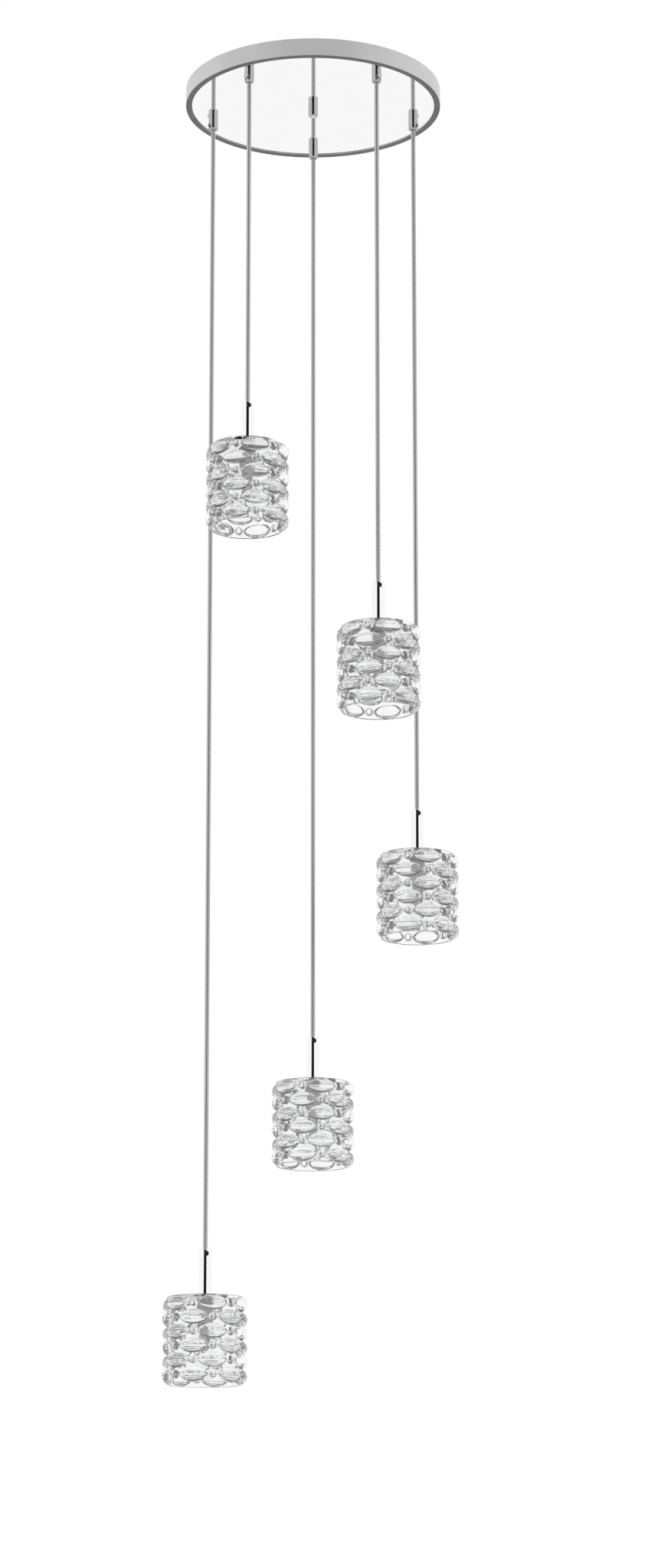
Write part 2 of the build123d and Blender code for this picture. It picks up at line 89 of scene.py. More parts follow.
class Tree:
    """Short ways to add and join shader nodes in one tree."""

    def __init__(self, tree):
        self.tree = tree

    def add(self, kind, **values):
        node = self.tree.nodes.new(kind)
        for name, value in values.items():
            setattr(node, name, value)
        return node

    def feed(self, socket, value):
        """Links a socket to another, or sets a constant on it."""
        if isinstance(value, bpy.types.NodeSocket):
            self.tree.links.new(value, socket)
        else:
            socket.default_value = value

    def math(self, operation, *inputs):
        node = self.add("ShaderNodeMath", operation=operation)
        for socket, value in zip(node.inputs, inputs):
            self.feed(socket, value)
        return node.outputs[0]

    def ramp(self, value, low, high, to_low=0.0, to_high=1.0):
        """Smooth step of a value between two limits."""
        node = self.add("ShaderNodeMapRange", interpolation_type="SMOOTHSTEP")
        for name, given in (
            ("Value", value),
            ("From Min", low),
            ("From Max", high),
            ("To Min", to_low),
            ("To Max", to_high),
        ):
            self.feed(node.inputs[name], given)
        return node.outputs["Result"]

    def mix(self, factor, a, b):
        """Colour that goes from a to b as the factor goes from 0 to 1."""
        node = self.add("ShaderNodeMix", data_type="RGBA")
        self.feed(node.inputs["Factor"], factor)
        self.feed(node.inputs["A"], a)
        self.feed(node.inputs["B"], b)
        return node.outputs["Result"]

    def noise(self, vector, scale, detail=2.0, roughness=0.5):
        node = self.add("ShaderNodeTexNoise")
        self.feed(node.inputs["Vector"], vector)
        self.feed(node.inputs["Scale"], scale)
        self.feed(node.inputs["Detail"], detail)
        self.feed(node.inputs["Roughness"], roughness)
        return node.outputs["Fac"]

    def place(self):
        """A surface point in the piece's own axes."""
        return self.add("ShaderNodeTexCoord").outputs["Object"]

    def split(self, vector):
        node = self.add("ShaderNodeSeparateXYZ")
        self.feed(node.inputs[0], vector)
        return node.outputs

    def stretch(self, vector, x, y, z):
        node = self.add("ShaderNodeMapping")
        self.feed(node.inputs["Vector"], vector)
        node.inputs["Scale"].default_value = (x, y, z)
        return node.outputs["Vector"]

    def off_axis(self, x, y):
        """Distance from the Z axis."""
        squares = self.math("ADD", self.math("MULTIPLY", x, x), self.math("MULTIPLY", y, y))
        return self.math("SQRT", squares)

    def use(self, group, **values):
        """Outputs of a shader node group, placed with these inputs and its defaults."""
        node = self.add("ShaderNodeGroup", node_tree=group)
        for name, value in values.items():
            self.feed(node.inputs[name], value)
        return node.outputs


def grey(level):
    return (level, level, level, 1.0)


# ---------------------------------------------------------------- shared effects


def new_group(name, inputs, outputs):
    """Empty shader node group. Inputs are (name, kind, default), outputs are (name, kind)."""
    group = bpy.data.node_groups.new(name, "ShaderNodeTree")
    for label, kind, default in inputs:
        socket = group.interface.new_socket(label, in_out="INPUT", socket_type=kind)
        if default is not None:
            socket.default_value = default
    for label, kind in outputs:
        group.interface.new_socket(label, in_out="OUTPUT", socket_type=kind)
    tree = Tree(group)
    return group, tree, tree.add("NodeGroupInput").outputs, tree.add("NodeGroupOutput").inputs


def make_handling_group():
    """Faint wipe marks and dust that vary the roughness and the tone of a polished surface."""
    group, tree, given, result = new_group(
        "handling_marks",
        [
            ("Vector", "NodeSocketVector", None),
            ("Scale", "NodeSocketFloat", 90.0),
            ("Roughness", "NodeSocketFloat", 0.03),
            ("Spread", "NodeSocketFloat", 0.05),
            ("Color", "NodeSocketColor", grey(0.8)),
            ("Dulling", "NodeSocketFloat", 0.03),
        ],
        [("Roughness", "NodeSocketFloat"), ("Color", "NodeSocketColor"), ("Height", "NodeSocketFloat")],
    )
    scale = tree.add("ShaderNodeVectorMath", operation="SCALE")
    tree.feed(scale.inputs[0], given["Vector"])
    tree.feed(scale.inputs["Scale"], given["Scale"])
    point = scale.outputs[0]
    wipes = tree.noise(tree.stretch(point, 1.0, 1.0, 0.25), scale=1.0, detail=4.0, roughness=0.6)
    specks = tree.noise(point, scale=9.0, detail=2.0, roughness=0.7)
    mark = tree.ramp(wipes, 0.42, 0.72)
    dust = tree.ramp(specks, 0.62, 0.78)
    both = tree.math("MAXIMUM", mark, tree.math("MULTIPLY", dust, 0.6))
    tree.feed(result["Roughness"], tree.math("MULTIPLY_ADD", both, given["Spread"], given["Roughness"]))
    dull = tree.math("MULTIPLY", both, given["Dulling"])
    tree.feed(result["Color"], tree.mix(dull, given["Color"], grey(0.5)))
    tree.feed(result["Height"], dust)
    return group


def make_turning_group():
    """Fine rings left by turning or spinning about an axis through the piece, as a height."""
    group, tree, given, result = new_group(
        "turning_rings",
        [
            ("Vector", "NodeSocketVector", None),
            ("Pitch", "NodeSocketFloat", 0.0005),
        ],
        [("Height", "NodeSocketFloat")],
    )
    x, y, z = tree.split(given["Vector"])
    across = tree.math("DIVIDE", tree.math("ADD", tree.off_axis(x, y), z), given["Pitch"])
    along = tree.math("MULTIPLY", tree.math("ARCTAN2", y, x), 1.5)
    combine = tree.add("ShaderNodeCombineXYZ")
    tree.feed(combine.inputs["X"], across)
    tree.feed(combine.inputs["Y"], along)
    rings = tree.noise(combine.outputs[0], scale=1.0, detail=3.0, roughness=0.65)
    tree.feed(result["Height"], rings)
    return group


def make_cloud_group():
    """Two tones of one finish in soft clouds, and the clouds themselves."""
    group, tree, given, result = new_group(
        "clouded_tone",
        [
            ("Vector", "NodeSocketVector", None),
            ("Scale", "NodeSocketFloat", 40.0),
            ("Detail", "NodeSocketFloat", 3.0),
            ("Low", "NodeSocketFloat", 0.3),
            ("High", "NodeSocketFloat", 0.7),
            ("First", "NodeSocketColor", grey(0.8)),
            ("Second", "NodeSocketColor", grey(0.9)),
        ],
        [("Color", "NodeSocketColor"), ("Cloud", "NodeSocketFloat")],
    )
    cloud = tree.noise(given["Vector"], given["Scale"], given["Detail"])
    mask = tree.ramp(cloud, given["Low"], given["High"])
    tree.feed(result["Color"], tree.mix(mask, given["First"], given["Second"]))
    tree.feed(result["Cloud"], cloud)
    return group


def make_grain_group():
    """Fine grain, frost or orange peel as a height, and the roughness that goes with it."""
    group, tree, given, result = new_group(
        "fine_grain",
        [
            ("Vector", "NodeSocketVector", None),
            ("Scale", "NodeSocketFloat", 900.0),
            ("Detail", "NodeSocketFloat", 3.0),
            ("Breakup", "NodeSocketFloat", 0.7),
            ("Margin", "NodeSocketFloat", 0.2),
            ("Smooth", "NodeSocketFloat", 0.2),
            ("Rough", "NodeSocketFloat", 0.4),
        ],
        [("Roughness", "NodeSocketFloat"), ("Height", "NodeSocketFloat")],
    )
    grain = tree.noise(given["Vector"], given["Scale"], given["Detail"], given["Breakup"])
    top = tree.math("SUBTRACT", 1.0, given["Margin"])
    roughness = tree.ramp(grain, given["Margin"], top, given["Smooth"], given["Rough"])
    tree.feed(result["Roughness"], roughness)
    tree.feed(result["Height"], grain)
    return group


handling_marks = make_handling_group()
turning_rings = make_turning_group()
clouded_tone = make_cloud_group()
fine_grain = make_grain_group()


# ---------------------------------------------------------------- materials

MIRROR_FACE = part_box("mirror_plate")[0].z
LIP_SHADE_FROM = 0.7 * MM  # below the mirror's face, where the painted shade on the rim's lip begins
LIP_SHADE_FULL = 1.2 * MM  # and where it has its full tone
BRAID_STRANDS = 8  # round the cord, each way
BRAID_TWIST = 3400.0  # radians along a metre of cord
TRAPPED_DEPTH = 3.5  # past this many reflections a ray in glass would end black


def new_material(name):
    """Material with one Principled BSDF. Returns (material, tree, shader)."""
    material = bpy.data.materials.new(name)
    material.use_nodes = True
    tree = Tree(material.node_tree)
    return material, tree, material.node_tree.nodes["Principled BSDF"]


def cover(tree, shader, colour, roughness, metallic=0.0):
    """Colour, roughness and metallic, which every finish has."""
    tree.feed(shader.inputs["Base Color"], colour)
    tree.feed(shader.inputs["Roughness"], roughness)
    shader.inputs["Metallic"].default_value = metallic


def bump(tree, shader, height, strength, distance):
    node = tree.add("ShaderNodeBump")
    node.inputs["Strength"].default_value = strength
    node.inputs["Distance"].default_value = distance
    tree.feed(node.inputs["Height"], height)
    tree.feed(shader.inputs["Normal"], node.outputs["Normal"])


def polished_metal(name, tone, **marks):
    """Polished metal with handling marks. What isn't given keeps the group's value."""
    material, tree, shader = new_material(name)
    surface = tree.use(handling_marks, Vector=tree.place(), Color=tone, **marks)
    cover(tree, shader, surface["Color"], surface["Roughness"], metallic=1.0)
    bump(tree, shader, surface["Height"], strength=0.02, distance=0.02 * MM)
    return material


def make_mirror():
    return polished_metal("mirror", grey(0.93), Roughness=0.0, Spread=0.015, Dulling=0.02, Scale=25.0)


def make_chrome():
    return polished_metal("chrome", grey(0.94))


def make_dull_and_shaded_chrome():
    """Duller chrome of the cord grips and the collar, with its tone darkened as painted shade."""
    return polished_metal("dull_and_shaded_chrome", grey(0.50), Roughness=0.12, Spread=0.06)


def make_satin_metal():
    """Spun rim, brushed round its axis; its flat lip is painted darker than its side, as painted shade
    for the dark that it mirrors.
    """
    material, tree, shader = new_material("satin_metal")
    place = tree.place()
    side = tree.use(clouded_tone, Vector=place, Scale=18.0, First=grey(0.79), Second=grey(0.83))
    # the lip's dark grey is painted shade, a darker copy of the side's own tone
    lip = tree.use(clouded_tone, Vector=place, Scale=18.0, First=grey(0.22), Second=grey(0.25))
    z = tree.split(place)["Z"]
    below = tree.ramp(z, MIRROR_FACE - LIP_SHADE_FULL, MIRROR_FACE - LIP_SHADE_FROM, 1.0, 0.0)
    rings = tree.use(turning_rings, Vector=place, Pitch=0.4 * MM)["Height"]
    tone = tree.mix(below, side["Color"], lip["Color"])
    tone = tree.mix(tree.math("MULTIPLY", rings, 0.12), tone, grey(0.5))
    cover(tree, shader, tone, tree.ramp(rings, 0.2, 0.8, 0.76, 0.86), metallic=1.0)
    bump(tree, shader, rings, strength=0.04, distance=0.02 * MM)
    return material


def make_plated_steel():
    material, tree, shader = new_material("plated_steel")
    place = tree.place()
    cloud = tree.use(
        clouded_tone,
        Vector=place,
        Scale=60.0,
        Low=0.35,
        High=0.65,
        First=(0.56, 0.56, 0.54, 1),
        Second=(0.66, 0.65, 0.60, 1),
    )
    grain = tree.use(fine_grain, Vector=place, Scale=900.0, Smooth=0.28, Rough=0.42)
    cover(tree, shader, cloud["Color"], grain["Roughness"], metallic=1.0)
    bump(tree, shader, grain["Height"], strength=0.08, distance=0.05 * MM)
    return material


def make_brass():
    material, tree, shader = new_material("brass")
    cloud = tree.use(
        clouded_tone,
        Vector=tree.place(),
        Scale=200.0,
        Detail=4.0,
        Low=0.35,
        First=(0.74, 0.54, 0.24, 1),
        Second=(0.55, 0.38, 0.18, 1),
    )
    cover(tree, shader, cloud["Color"], tree.ramp(cloud["Cloud"], 0.3, 0.7, 0.2, 0.38), metallic=1.0)
    return material


def make_black_screw():
    material, tree, shader = new_material("black_screw")
    grain = tree.use(fine_grain, Vector=tree.place(), Scale=1500.0, Margin=0.3, Smooth=0.22, Rough=0.4)
    tone = tree.mix(tree.ramp(grain["Height"], 0.3, 0.8), grey(0.015), grey(0.05))
    cover(tree, shader, tone, grain["Roughness"], metallic=0.6)
    bump(tree, shader, grain["Height"], strength=0.1, distance=0.03 * MM)
    return material


def moulded(name, first, second, roughness, peel=300.0, clearness=0.0):
    """Smooth moulded or glazed surface with slight clouding and orange peel."""
    material, tree, shader = new_material(name)
    place = tree.place()
    cloud = tree.use(clouded_tone, Vector=place, Scale=40.0, Detail=4.0, First=first, Second=second)
    skin = tree.use(
        fine_grain,
        Vector=place,
        Scale=peel,
        Detail=2.0,
        Breakup=0.5,
        Smooth=roughness,
        Rough=roughness + 0.08,
    )
    cover(tree, shader, cloud["Color"], skin["Roughness"])
    shader.inputs["Transmission Weight"].default_value = clearness
    shader.inputs["IOR"].default_value = 1.5
    bump(tree, shader, skin["Height"], strength=0.06, distance=0.1 * MM)
    return material


def make_white_plastic():
    return moulded("white_plastic", grey(0.80), grey(0.86), roughness=0.28)


def make_soft_washer():
    return moulded("soft_washer", grey(0.62), grey(0.70), roughness=0.5, peel=900.0)


def make_clear_nylon():
    return moulded("clear_nylon", grey(0.84), grey(0.92), roughness=0.12, peel=600.0, clearness=0.45)


def make_holder_ceramic():
    return moulded("holder_ceramic", (0.86, 0.84, 0.79, 1), (0.91, 0.90, 0.87, 1), roughness=0.22)


def make_lamp_glass():
    """Frosted capsule."""
    material, tree, shader = new_material("lamp_glass")
    frost = tree.use(fine_grain, Vector=tree.place(), Scale=2500.0, Smooth=0.28, Rough=0.45)
    tone = tree.mix(tree.ramp(frost["Height"], 0.3, 0.7), grey(0.93), grey(0.98))
    cover(tree, shader, tone, frost["Roughness"])
    shader.inputs["Transmission Weight"].default_value = 0.6
    shader.inputs["IOR"].default_value = 1.45
    bump(tree, shader, frost["Height"], strength=0.1, distance=0.05 * MM)
    return material


def make_clear_glass():
    """Clear pressed glass with faint draw lines, and a weak painted glow for rays that are trapped in it,
    in place of the light they would bring out.
    """
    material, tree, shader = new_material("clear_glass")
    lines = tree.use(
        clouded_tone,
        Vector=tree.stretch(tree.place(), 1.0, 1.0, 3.0),
        Scale=70.0,
        First=(0.940, 0.945, 0.950, 1),
        Second=(0.965, 0.965, 0.965, 1),
    )
    cover(tree, shader, lines["Color"], tree.ramp(lines["Cloud"], 0.35, 0.8, 0.0, 0.03))
    shader.inputs["Transmission Weight"].default_value = 1.0
    shader.inputs["IOR"].default_value = 1.5
    # painted light: past the trapped depth the glass glows weakly instead of ending black
    depth = tree.add("ShaderNodeLightPath").outputs["Glossy Depth"]
    shader.inputs["Emission Color"].default_value = (0.09, 0.09, 0.093, 1)
    tree.feed(shader.inputs["Emission Strength"], tree.math("GREATER_THAN", depth, TRAPPED_DEPTH))
    bump(tree, shader, lines["Cloud"], strength=0.15, distance=0.3 * MM)
    return material


def make_cord_jacket():
    """Clear jacket over a fine silver braid."""
    material, tree, shader = new_material("cord_jacket")
    u, v, _ = tree.split(tree.add("ShaderNodeUVMap").outputs["UV"])
    around = tree.math("MULTIPLY", u, 2 * pi * BRAID_STRANDS)
    along = tree.math("MULTIPLY", v, BRAID_TWIST)
    one_way = tree.math("SINE", tree.math("ADD", around, along))
    other_way = tree.math("SINE", tree.math("SUBTRACT", around, along))
    braid = tree.math("MULTIPLY", one_way, other_way)
    grain = tree.use(
        fine_grain,
        Vector=tree.place(),
        Scale=400.0,
        Detail=2.0,
        Breakup=0.5,
        Smooth=0.26,
        Rough=0.36,
    )
    tone = tree.mix(tree.ramp(braid, -0.6, 0.8), grey(0.40), grey(0.50))
    tone = tree.mix(tree.math("MULTIPLY", grain["Height"], 0.2), tone, grey(0.5))
    cover(tree, shader, tone, grain["Roughness"], metallic=0.75)
    shader.inputs["Coat Weight"].default_value = 1.0
    shader.inputs["Coat Roughness"].default_value = 0.04
    bump(tree, shader, braid, strength=0.06, distance=0.04 * MM)
    return material


MATERIALS = {
    "satin_rim": make_satin_metal(),
    "mirror": make_mirror(),
    "chrome": make_chrome(),
    "dull_and_shaded_chrome": make_dull_and_shaded_chrome(),
    "plated_steel": make_plated_steel(),
    "brass": make_brass(),
    "black_screw": make_black_screw(),
    "white_plastic": make_white_plastic(),
    "clear_nylon": make_clear_nylon(),
    "cord_jacket": make_cord_jacket(),
    "soft_washer": make_soft_washer(),
    "holder_ceramic": make_holder_ceramic(),
    "lamp_glass": make_lamp_glass(),
    "clear_glass": make_clear_glass(),
}
# the grips and the collar take a duller chrome whose darker tone is painted shade
FINISHES = {"cord_grips": "dull_and_shaded_chrome", "centre_collar": "dull_and_shaded_chrome"}  # nodes unlike their slot


# ---------------------------------------------------------------- mesh helpers


def new_mesh(name, vertices, faces):
    mesh = bpy.data.meshes.new(name)
    mesh.from_pydata(vertices, [], faces)
    mesh.update()
    return mesh


def new_object(name, mesh):
    made = bpy.data.objects.new(name, mesh)
    scene.collection.objects.link(made)
    return made


def new_piece(name, mesh, slot):
    """Visible piece of the light, with its slot's material."""
    piece = new_object(name, mesh)
    mesh.materials.clear()
    mesh.materials.append(MATERIALS[slot])
    return piece


def smooth(mesh, angle):
    """Smooth shading with edges kept sharp above an angle in degrees."""
    for polygon in mesh.polygons:
        polygon.use_smooth = True
    mesh.set_sharp_from_angle(angle=radians(angle))


def grid_faces(rows, columns, closed_rows=False):
    """Quads of a grid that closes round its columns, and round its rows too when told."""
    faces = []
    for row in range(rows if closed_rows else rows - 1):
        after = (row + 1) % rows
        for column in range(columns):
            beside = (column + 1) % columns
            faces.append(
                (
                    row * columns + column,
                    row * columns + beside,
                    after * columns + beside,
                    after * columns + column,
                )
            )
    return faces


def turned(profile, segments):
    """Vertices of a profile of (radius, height) turned about Z."""
    return [
        (radius * cos(2 * pi * s / segments), radius * sin(2 * pi * s / segments), height)
        for radius, height in profile
        for s in range(segments)
    ]


ARC_STEPS = 6


def arc(centre_radius, centre_height, radius, start, end):
    """Points of a round in a profile, by angles in degrees from outward."""
    points = []
    for step in range(ARC_STEPS + 1):
        turn = radians(start + (end - start) * step / ARC_STEPS)
        points.append((centre_radius + radius * cos(turn), centre_height + radius * sin(turn)))
    return points


def gathered(name, bodies):
    """One object of several closed bodies, each (vertices, faces)."""
    vertices = []
    faces = []
    for body_vertices, body_faces in bodies:
        first = len(vertices)
        vertices += body_vertices
        faces += [tuple(first + v for v in face) for face in body_faces]
    return new_object(name, new_mesh(name, vertices, faces))


def outward_faces(made):
    """Turns all faces outward."""
    work = bmesh.new()
    work.from_mesh(made.data)
    bmesh.ops.recalc_face_normals(work, faces=work.faces)
    work.to_mesh(made.data)
    work.free()


def joined_mesh(made, other):
    """Mesh of two closed objects joined. Both objects are used up."""
    outward_faces(made)
    outward_faces(other)
    step = made.modifiers.new("join", "BOOLEAN")
    step.operation = "UNION"
    step.solver = "MANIFOLD"
    step.object = other
    bpy.context.view_layer.update()
    whole = made.evaluated_get(bpy.context.evaluated_depsgraph_get())
    mesh = bpy.data.meshes.new_from_object(whole)
    bpy.data.objects.remove(made)
    bpy.data.objects.remove(other)
    return mesh


# ---------------------------------------------------------------- cords

CORD_SIDES = 24
CORD_RINGS = 60
CORD_DIAMETER = 6.0 * MM


def make_cord(number):
    """Straight tube from the grip's mouth down into the stem's head."""
    node = f"cord_{number}"
    low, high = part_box(node)
    centre = (low + high) / 2
    length = high.z - low.z
    radius = CORD_DIAMETER / 2
    vertices = []
    uvs = []
    for ring in range(CORD_RINGS + 1):
        down = length * ring / CORD_RINGS
        for side in range(CORD_SIDES):
            turn = 2 * pi * side / CORD_SIDES
            vertices.append((centre.x + radius * cos(turn), centre.y + radius * sin(turn), high.z - down))
            uvs.append((side / CORD_SIDES, down))
    faces = [face[::-1] for face in grid_faces(CORD_RINGS + 1, CORD_SIDES)]
    faces.append(tuple(range(CORD_SIDES))[::-1])
    faces.append(tuple(range(CORD_RINGS * CORD_SIDES, (CORD_RINGS + 1) * CORD_SIDES)))
    mesh = new_mesh(f"hanging_cord_{number}", vertices, faces)
    layer = mesh.uv_layers.new(name="UVMap")
    for loop in mesh.loops:
        layer.data[loop.index].uv = uvs[loop.vertex_index]
    smooth(mesh, angle=60)
    piece = new_piece(f"hanging_cord_{number}", mesh, "cord_jacket")
    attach(piece, f"hanging_cord_{number}")
    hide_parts(node)
    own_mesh(piece)


# ---------------------------------------------------------------- glass shades

WALL_RADIUS = 49.2 * MM
WALL_THICKNESS = 3.0 * MM
WALL_SEGMENTS = 216
ROOT_RADIUS = WALL_RADIUS - WALL_THICKNESS / 2  # middle of the wall, where lenses and beads end
TOP_THICKNESS = 4.0 * MM
HOLE_RADIUS = 5.5 * MM
SHOULDER_ROUND = 1.2 * MM
MOUTH_ROUND = WALL_THICKNESS * 0.35
CEILING_ROUND = 2 * MM

INNER_STEPS = 72
DIMPLE = 0.40 * MM  # hollow that the cooling glass draws in behind each lens
DIMPLE_FADE = 0.25  # power that lets the hollows fade only near the top and the mouth
RIPPLE = 0.10 * MM
WAVES = ((19, 340), (31, -610), (7, 900))  # ripples round the wall, and radians to a metre up it

ROWS = 6
ROW_PITCH = 18.2 * MM
ROW_MARGIN = 1.4 * MM  # from the shade's top to the first row
LENSES = 6  # in each row, and as many beads between them
LENS_AZIMUTH = 14.0  # degrees from the front to the first lens
LENS_HALF = 20.0 * MM
LENS_REACH = 8.7 * MM  # outward, from the lens's axis
LENS_RISE = 10.2 * MM  # upward, from the lens's axis
LENS_SINK = 2.4 * MM  # depth of the lens's axis under the wall's face
LENS_FULLNESS = 0.82  # under 1 makes the ends blunter
LENS_HANDLE = 0.5  # of the curve that sets the rings along the lens, as a share of its half
LENS_FLUTES = 14
FLUTE_DEPTH = 0.014  # share of the lens's radius
LENS_RINGS = 40
LENS_SIDES = 72

BEAD_RADIUS = 5.6 * MM
BEAD_RINGS = 20
BEAD_SIDES = 36
SWIRL_ARMS = 3
SWIRL_TWIST = 5.0
SWIRL_DEPTH = 0.05  # share of the bead's radius


def on_shade(radius, turn, z):
    """Point at a radius and an angle from the front, positive to the right, no deeper than the root."""
    radius = max(radius, ROOT_RADIUS)
    return (radius * sin(turn), -radius * cos(turn), z)


def add_tip(faces, tip, first, sides, flipped):
    """Adds the triangles from one tip to the ring of vertices that begins at first."""
    for side in range(sides):
        pair = (first + side, first + (side + 1) % sides)
        faces.append((tip, *(pair[::-1] if flipped else pair)))


def lens_body(azimuth, level):
    """Closed spindle that bends round the wall, pointed at both ends and fluted from end to end."""
    vertices = []
    for ring in range(1, LENS_RINGS):
        t = 0.5 - 0.5 * cos(pi * ring / LENS_RINGS)
        run = LENS_HALF * (t**3 - (1 - t) ** 3 + 3 * LENS_HANDLE * t * (1 - t) * (2 * t - 1))
        swell = (4 * t * (1 - t)) ** LENS_FULLNESS
        sunk = LENS_SINK * (1 - (run / LENS_HALF) ** 2)
        for side in range(LENS_SIDES):
            angle = 2 * pi * side / LENS_SIDES
            flute = 1 - FLUTE_DEPTH * (1 - cos(LENS_FLUTES * angle))
            out = WALL_RADIUS - sunk + LENS_REACH * swell * flute * cos(angle)
            rise = LENS_RISE * swell * flute * sin(angle)
            vertices.append(on_shade(out, azimuth + run / WALL_RADIUS, level + rise))
    faces = grid_faces(LENS_RINGS - 1, LENS_SIDES)
    for end, first in ((-1, 0), (1, (LENS_RINGS - 2) * LENS_SIDES)):
        add_tip(faces, len(vertices), first, LENS_SIDES, flipped=end < 0)
        vertices.append(on_shade(WALL_RADIUS, azimuth + end * LENS_HALF / WALL_RADIUS, level))
    return vertices, faces


def bead_body(azimuth, level):
    """Closed ball with a pressed swirl, rooted in the wall."""
    outward = Vector((sin(azimuth), -cos(azimuth), 0))
    across = Vector((cos(azimuth), sin(azimuth), 0))
    up = Vector((0, 0, 1))
    centre = outward * WALL_RADIUS + up * level

    def point(polar, around):
        swirl = sin(SWIRL_ARMS * around + SWIRL_TWIST * polar) * sin(polar) ** 2
        reach = BEAD_RADIUS * (1 - SWIRL_DEPTH * (1 + swirl) / 2)
        spot = centre + outward * reach * cos(polar)
        spot = spot + (across * cos(around) + up * sin(around)) * reach * sin(polar)
        return on_shade(hypot(spot.x, spot.y), atan2(spot.x, -spot.y), spot.z)

    vertices = [
        point(pi * ring / BEAD_RINGS, 2 * pi * side / BEAD_SIDES)
        for ring in range(1, BEAD_RINGS)
        for side in range(BEAD_SIDES)
    ]
    faces = [face[::-1] for face in grid_faces(BEAD_RINGS - 1, BEAD_SIDES)]
    for polar, first in ((0.0, 0), (pi, (BEAD_RINGS - 2) * BEAD_SIDES)):
        add_tip(faces, len(vertices), first, BEAD_SIDES, flipped=polar > 0)
        vertices.append(point(polar, 0.0))
    return vertices, faces


def rippled(x, y, z, half_height):
    """Point of the inner wall, drawn out behind the lenses and waved by the plunger."""
    turn = atan2(x, -y)
    radius = hypot(x, y)
    row = (half_height - ROW_MARGIN - z) / ROW_PITCH
    phase = LENSES * (turn - radians(LENS_AZIMUTH)) + pi * (int(max(row, 0)) % 2)
    ends = max(0.0, sin(pi * min(max(row / ROWS, 0.0), 1.0))) ** DIMPLE_FADE
    hollow = sin(pi * row) ** 2 * (0.5 + 0.5 * cos(phase))
    wave = sum(sin(around * turn + upward * z) for around, upward in WAVES) / len(WAVES)
    moved = radius + ends * (DIMPLE * hollow + RIPPLE * wave)
    return (x * moved / radius, y * moved / radius, z)


def wall_body(half_height):
    """Closed cup wall with a rounded mouth and a holed top."""
    inner = WALL_RADIUS - WALL_THICKNESS
    ceiling = half_height - TOP_THICKNESS
    mouth = MOUTH_ROUND - half_height
    profile = [(HOLE_RADIUS, ceiling), (HOLE_RADIUS, half_height)]
    profile += arc(WALL_RADIUS - SHOULDER_ROUND, half_height - SHOULDER_ROUND, SHOULDER_ROUND, 90, 0)
    profile += arc(WALL_RADIUS - MOUTH_ROUND, mouth, MOUTH_ROUND, 0, -90)
    profile += arc(inner + MOUTH_ROUND, mouth, MOUTH_ROUND, -90, -180)
    first_inner = len(profile)
    rise = ceiling - CEILING_ROUND - mouth
    profile += [(inner, mouth + step * rise / INNER_STEPS) for step in range(1, INNER_STEPS)]
    last_inner = len(profile)
    profile += arc(inner - CEILING_ROUND, ceiling - CEILING_ROUND, CEILING_ROUND, 0, 90)
    vertices = turned(profile, WALL_SEGMENTS)
    for index in range(first_inner * WALL_SEGMENTS, last_inner * WALL_SEGMENTS):
        vertices[index] = rippled(*vertices[index], half_height)
    return vertices, grid_faces(len(profile), WALL_SEGMENTS, closed_rows=True)


def make_shade_mesh(half_height):
    """One shade about its middle: the wall joined with its lenses and beads."""
    wall = gathered("shade_wall", [wall_body(half_height)])
    bodies = []
    pitch = 2 * pi / LENSES
    for row in range(ROWS):
        level = half_height - ROW_MARGIN - (row + 0.5) * ROW_PITCH
        first = radians(LENS_AZIMUTH) - (row % 2) * pitch / 2
        for column in range(LENSES):
            azimuth = first + column * pitch
            bodies.append(lens_body(azimuth, level))
            bodies.append(bead_body(azimuth + pitch / 2, level))
    joined = joined_mesh(wall, gathered("shade_relief", bodies))
    joined.name = "shade_glass"
    smooth(joined, angle=38)
    return joined


def place_shade(number, mesh):
    node = f"shade_{number}"
    low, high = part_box(node)
    piece = new_piece(f"pressed_glass_{number}", mesh, "clear_glass")
    piece.location = (low + high) / 2
    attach(piece, f"pendant_{number}")
    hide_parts(node)


# ---------------------------------------------------------------- CAD pieces that stay


def dress_nodes():
    """Each CAD node that shows takes its slot's material, or its own finish, and smooth shading."""
    slots = {row["node"]: row["material_slot"] for row in frame["record"]["subparts"]}
    for name, node in frame["nodes"].items():
        node.data.materials.clear()
        node.data.materials.append(MATERIALS[FINISHES.get(name, slots[name])])
        given_normals = node.data.attributes.get("custom_normal")
        if given_normals:
            node.data.attributes.remove(given_normals)
        smooth(node.data, angle=32)


# ---------------------------------------------------------------- floor

FLOOR_LEVEL = -2.6
FLOOR_RADIUS = 4.5
FLOOR_SIDES = 96
FLOOR_TONE = 0.86
FLOOR_WHITE = 0.9  # share of plain white where the floor is seen; the rest shows its shadows


def seen(tree):
    """1 for rays from the camera and for those seen in metal or through glass."""
    path = tree.add("ShaderNodeLightPath").outputs
    direct = tree.math("MAXIMUM", path["Is Camera Ray"], path["Is Glossy Ray"])
    return tree.math("MAXIMUM", direct, path["Is Transmission Ray"])


def mixed_shader(tree, factor, a, b):
    node = tree.add("ShaderNodeMixShader")
    for socket, value in zip(node.inputs, (factor, a, b)):
        tree.feed(socket, value)
    return node.outputs[0]


